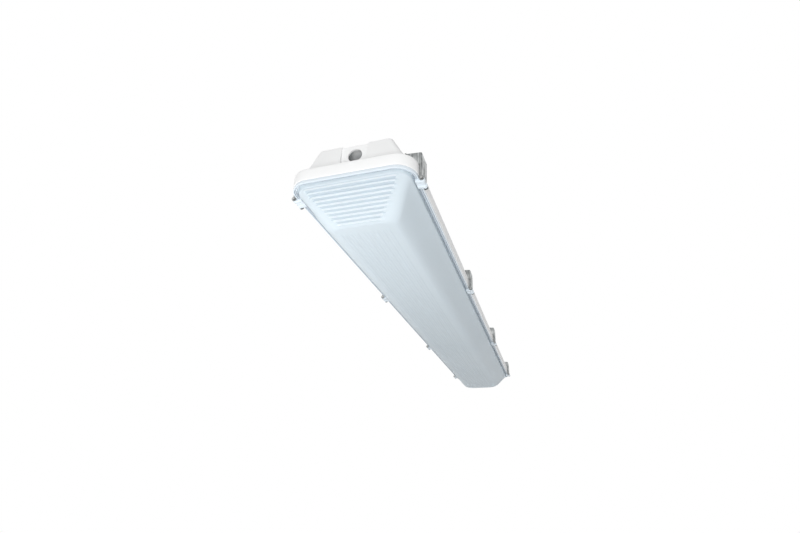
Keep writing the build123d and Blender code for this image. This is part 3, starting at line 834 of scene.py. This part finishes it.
# %% Housing shell
pocket_half, pocket_depth, pocket_lift, pocket_half_rise = 0.021, 0.003, 0.027, 0.030
pocket_round, pad_margin, pad_round, overrun = 0.0025, 0.004, 0.001, 0.002
conduit_radius, conduit_height, conduit_points = 0.0111, 0.048, 48
bracket_half, bracket_place = 0.0153, 0.4
notch_lift, notch_half, notch_drop, notch_round = 0.054, 0.0025, 0.00075, 0.0004
notch_height, notch_depth = 0.0021, 0.0016
back_bead_width, back_bead_rise, back_bead_round = 0.004, 0.002, 0.0008
back_bead_gap, back_edge = 0.012, 0.002
tray_top, boss_radius, boss_points = 0.009, 0.006, 24
boss_places = [side * y for side in (-1, 1) for y in (0.260, 0.540)]


def leaning_x(height):
    """The half width of the leaning body at a height over the rim plane."""
    return foot_ring[0] - (rim_z + height - foot_z) * side_lean / body_rise


def end_solids():
    """The pads behind the end pockets, the cutters of the pockets, and those of the holes."""
    pads, pockets, holes = bmesh.new(), bmesh.new(), bmesh.new()
    pad_outer = back_ring[1] - housing_wall / 2
    pad_inner = back_ring[1] - pocket_depth - housing_wall
    pad_low, pad_high = pocket_lift - pad_margin, housing_height - housing_wall / 2
    notch_x = leaning_x(notch_lift) - notch_depth + notch_half
    for end in (-1, 1):
        add_bar(
            pads, soft_box(pocket_half + pad_margin, (pad_high - pad_low) / 2, pad_round),
            end * pad_inner, end * pad_outer, (0, rim_z + (pad_low + pad_high) / 2),
        )
        add_bar(
            pockets, soft_box(pocket_half, pocket_half_rise, pocket_round),
            end * (back_ring[1] - pocket_depth), end * rim_y,
            (0, rim_z + pocket_lift + pocket_half_rise),
        )
        add_bar(
            holes, circle(conduit_radius, conduit_points),
            end * (pad_inner - overrun), end * back_ring[1], (0, rim_z + conduit_height),
        )
        for side in (-1, 1):
            add_bar(
                holes, soft_box(notch_half, notch_height / 2, notch_round),
                end * bracket_place - bracket_half, end * bracket_place + bracket_half,
                (side * notch_x, rim_z + notch_lift - notch_drop),
            )
    return pads, pockets, holes


def build_housing():
    """The moulded shell: skin first, then pads, pockets, holes, notches, beads and bosses."""
    shape = housing_skin()
    pads, pockets, holes = end_solids()
    shape = carve(shape, pads, "UNION")
    shape = carve(shape, pockets)
    shape = carve(shape, holes)
    for side in (-1, 1):
        middle = side * (back_ring[0] - back_edge - back_bead_width / 2)
        add_bar(
            shape, soft_box(back_bead_width / 2, back_bead_rise, back_bead_round),
            back_bead_gap - back_ring[1], back_ring[1] - back_bead_gap, (middle, back_z),
        )
    boss, levels = circle(boss_radius, boss_points), (rim_z + tray_top, back_z - housing_wall / 2)
    for place in boss_places:
        add_skin(shape, [[Vector((x, place + y, z)) for x, y in boss] for z in levels])
    return shape


housing_shell = make_piece(
    "housing_shell", build_housing(), ["housing_plastic"], "fixture", ["housing"]
)
print("housing shell:", len(housing_shell.data.polygons), "faces")

# %% [markdown]
# A latch is one pressed channel of stainless sheet: an outer plate that bends over into a rising
# top, and two cheeks that end in round eyes for the pin. It could be a flat sheet that is folded,
# but a solid with the channel's outline that is hollowed from behind gives the same bends.

# %% Outline of a latch
latch_half, latch_sheet, latch_eye, latch_bend = 0.013, 0.0012, 0.0036, 0.003
latch_height, latch_tip, latch_reach, tip_bend = 0.0437, 0.0467, 0.025, 0.001
latch_face, latch_hook, latch_arm, cheek_in = 0.001, 0.0095, 0.004, 0.0031
eye_start, eye_end, eye_steps = 149.4, 433.9, 22
shoulder_gap = 0.0003
shoulder_slope = shoulder_rise / side_shoulder
over_shoulder = skirt_height + pivot_drop + shoulder_gap


def bend(corner, before, after, radius, steps=6):
    """Points that round the corner of a sheet between two neighbours."""
    corner, before, after = Vector(corner), Vector(before), Vector(after)
    first = corner + (before - corner).normalized() * radius
    last = corner + (after - corner).normalized() * radius
    return [
        first.lerp(corner, n / steps).lerp(corner.lerp(last, n / steps), n / steps)
        for n in range(steps + 1)
    ]


def latch_outline():
    """The cheek's outline about the pivot, outwards and up."""
    tip, top, foot = (-latch_reach, latch_tip), (latch_face, latch_height), (latch_face, 0.0)
    return [
        *bend(tip, (-latch_reach, 0), top, tip_bend, steps=3),
        (-latch_reach, latch_tip - latch_arm),
        (-latch_hook, over_shoulder + (latch_hook - pivot_out) * shoulder_slope),
        (-cheek_in, over_shoulder + (cheek_in - pivot_out) * shoulder_slope),
        *arc((0, 0), latch_eye, eye_start, eye_end, eye_steps),
        *bend(top, foot, tip, latch_bend),
    ]


print("latch outline:", len(latch_outline()), "points")

# %% [markdown]
# The solid's outer edges are bevelled where the sheet bends over into the cheeks, its inside is
# carved away, and a low rib is laid on the plate, as a press would push one out to stiffen it.
# The latch is made once about its pivot. Each of the eight places gets a copy, mirrored on the
# left side, so that every latch can ride on a body of its own.

# %% Latches
cheek_bend, bevel_steps, plate_low, tolerance = 0.0016, 3, 0.0035, 0.0001
latch_foot, clear_out, clear_down = 0.005, 0.008, 0.010
press_low, press_high, press_rise, press_sink = 0.010, 0.036, 0.0008, 0.0004
press_half, press_corner, press_taper = 0.0048, 0.0040, 0.0020
press_shares = ((0.0, 0.0), (0.3, 0.6), (0.7, 1.0))


def on_bent_edge(point):
    """Whether a point is on the plate or the top, where the sheet bends over into a cheek."""
    on_plate = point.x > latch_face - tolerance
    on_top = point.z > latch_height - latch_bend - tolerance
    return point.z > plate_low and (on_plate or on_top)


def add_pressed_rib(shape):
    """The low rib on the plate, in steps that get smaller as they rise."""
    middle, half = (press_low + press_high) / 2, (press_high - press_low) / 2
    steps = [(0.0, -press_sink)] + [(share, high * press_rise) for share, high in press_shares]
    rings = []
    for share, rise in steps:
        taper = press_taper * share
        outline = soft_box(press_half - taper, half - taper, press_corner - taper)
        rings.append([Vector((latch_face + rise, y, middle + z)) for y, z in outline])
    add_skin(shape, rings)


def build_latch():
    """The pressed channel of one latch, about its own pivot."""
    shape = bmesh.new()
    add_bar(shape, latch_outline(), -latch_half, latch_half)
    bmesh.ops.recalc_face_normals(shape, faces=shape.faces)
    bent = [
        edge for edge in shape.edges
        if abs(edge.verts[0].co.y) > latch_half - tolerance
        and edge.verts[0].co.y * edge.verts[1].co.y > 0
        and all(on_bent_edge(corner.co) for corner in edge.verts)
    ]
    bmesh.ops.bevel(
        shape, geom=bent, offset=cheek_bend, segments=bevel_steps, profile=0.5,
        affect="EDGES", clamp_overlap=True,
    )
    inside = latch_face - latch_sheet
    top_inside = (inside, latch_height - latch_sheet)
    tip_inside = (latch_sheet - latch_reach, latch_tip - latch_sheet)
    hollow = bmesh.new()
    add_bar(
        hollow,
        [
            *bend(top_inside, (inside, 0), tip_inside, latch_bend - latch_sheet, steps=4),
            tip_inside,
            (latch_sheet - latch_reach, -clear_down),
            (clear_out, -clear_down),
            (clear_out, latch_foot),
            (inside, latch_foot),
        ],
        latch_sheet - latch_half,
        latch_half - latch_sheet,
    )
    shape = carve(shape, hollow)
    add_pressed_rib(shape)
    return shape


def place_latch(name, side, place):
    """A copy of the latch at its place, mirrored on the left side."""
    body = f"{name.split('_')[1]}_latch_{name.split('_')[2]}"
    shape = latch_shape.copy()
    mirror = Matrix.Diagonal((side, 1, 1, 1))
    moved = Matrix.Translation((side * pivot_x, place, pivot_z)) @ mirror
    bmesh.ops.transform(shape, matrix=moved, verts=shape.verts)
    make_piece(f"{name}_sheet", shape, ["latch_steel"], body, [name])


latch_shape = build_latch()
for side, side_name in ((1, "right"), (-1, "left")):
    for number, place in enumerate(latch_places, start=1):
        place_latch(f"latch_{side_name}_{number}", side, place)
latch_shape.free()

# %% [markdown]
# The studio is a pale room: a floor well below the fixture, and a white world that the camera
# and the reflections see. More light on the object could make them white, but it would wash the
# object out too. Instead the Light Path node tells the rays apart: those that the eye, a gloss
# or a glass sends see a world at full white and a floor that glows a little, while all other
# rays get only the world's soft fill.

# %% Floor and world
floor_depth, floor_half, floor_lift = 2.4, 12.0, 0.3
fill_strength, white = 0.49, (1, 1, 1, 1)
floor_mesh = bpy.data.meshes.new("floor")
floor_mesh.from_pydata(
    [
        (x * floor_half, y * floor_half, -floor_depth)
        for x, y in ((-1, -1), (1, -1), (1, 1), (-1, 1))
    ],
    [],
    [(0, 1, 2, 3)],
)
floor = bpy.data.objects.new("floor", floor_mesh)
bpy.context.collection.objects.link(floor)


def seen_level(tree, unseen, seen):
    """One level for rays that the eye, a gloss or a glass sends, and another for all the rest."""
    path = add_node(tree, "ShaderNodeLightPath")
    eye = add_node(tree, "ShaderNodeMath", operation="MAXIMUM")
    join(tree, path, "Is Camera Ray", eye, 0)
    join(tree, path, "Is Glossy Ray", eye, 1)
    shown = add_node(tree, "ShaderNodeMath", operation="MAXIMUM")
    join(tree, eye, "Value", shown, 0)
    join(tree, path, "Is Transmission Ray", shown, 1)
    level = add_node(tree, "ShaderNodeMapRange", {"To Min": unseen, "To Max": seen})
    join(tree, shown, "Value", level, "Value")
    return level


floor_paint = moulded("floor_paint", (0.90, 0.90, 0.90), (0.88, 0.88, 0.88), (0.7, 0.8), 40.0)
floor_mesh.materials.append(floor_paint)
paint_tree = floor_paint.node_tree
paint_shader = paint_tree.nodes["Principled BSDF"]
paint_shader.inputs["Emission Color"].default_value = white
paint_level = seen_level(paint_tree, 0.0, floor_lift)
join(paint_tree, paint_level, "Result", paint_shader, "Emission Strength")

world = bpy.data.worlds.new("studio")
bpy.context.scene.world = world
world.use_nodes = True
world_tree = world.node_tree
background = world_tree.nodes["Background"]
background.inputs["Color"].default_value = white
join(world_tree, seen_level(world_tree, fill_strength, 1.0), "Result", background, "Strength")
print("floor", floor_depth, "m down, fill", fill_strength)

# %% [markdown]
# Three soft lamps shape the form: one low and near the camera, which makes the near end the
# brightest, a small one beside the near end's ribs, and a large one high up for the back. One
# big lamp could light it all, but the ribs would look flat. They are hidden from the reflections,
# where they would leave hard white patches.

# %% Lamps
def lamp(name, place, target, size, power):
    """A square soft lamp that faces a target."""
    made = bpy.data.objects.new(name, bpy.data.lights.new(name, "AREA"))
    made.data.size = size
    made.data.energy = power
    made.visible_camera = False
    made.visible_glossy = False
    bpy.context.collection.objects.link(made)
    made.location = place
    made.rotation_euler = (Vector(target) - Vector(place)).to_track_quat("-Z", "Y").to_euler()


lamp("front_low", (0.40, -1.92, -1.0), (0.0, -0.6, -0.07), size=0.9, power=19.9)
lamp("near_left", (-0.25, -0.66, -0.50), (0.0, -0.58, -0.10), size=0.35, power=0.95)
lamp("high_back", (-1.6, 0.8, 2.2), (0.0, 0.0, -0.05), size=2.0, power=48.0)
bpy.context.scene.view_settings.view_transform = "Standard"
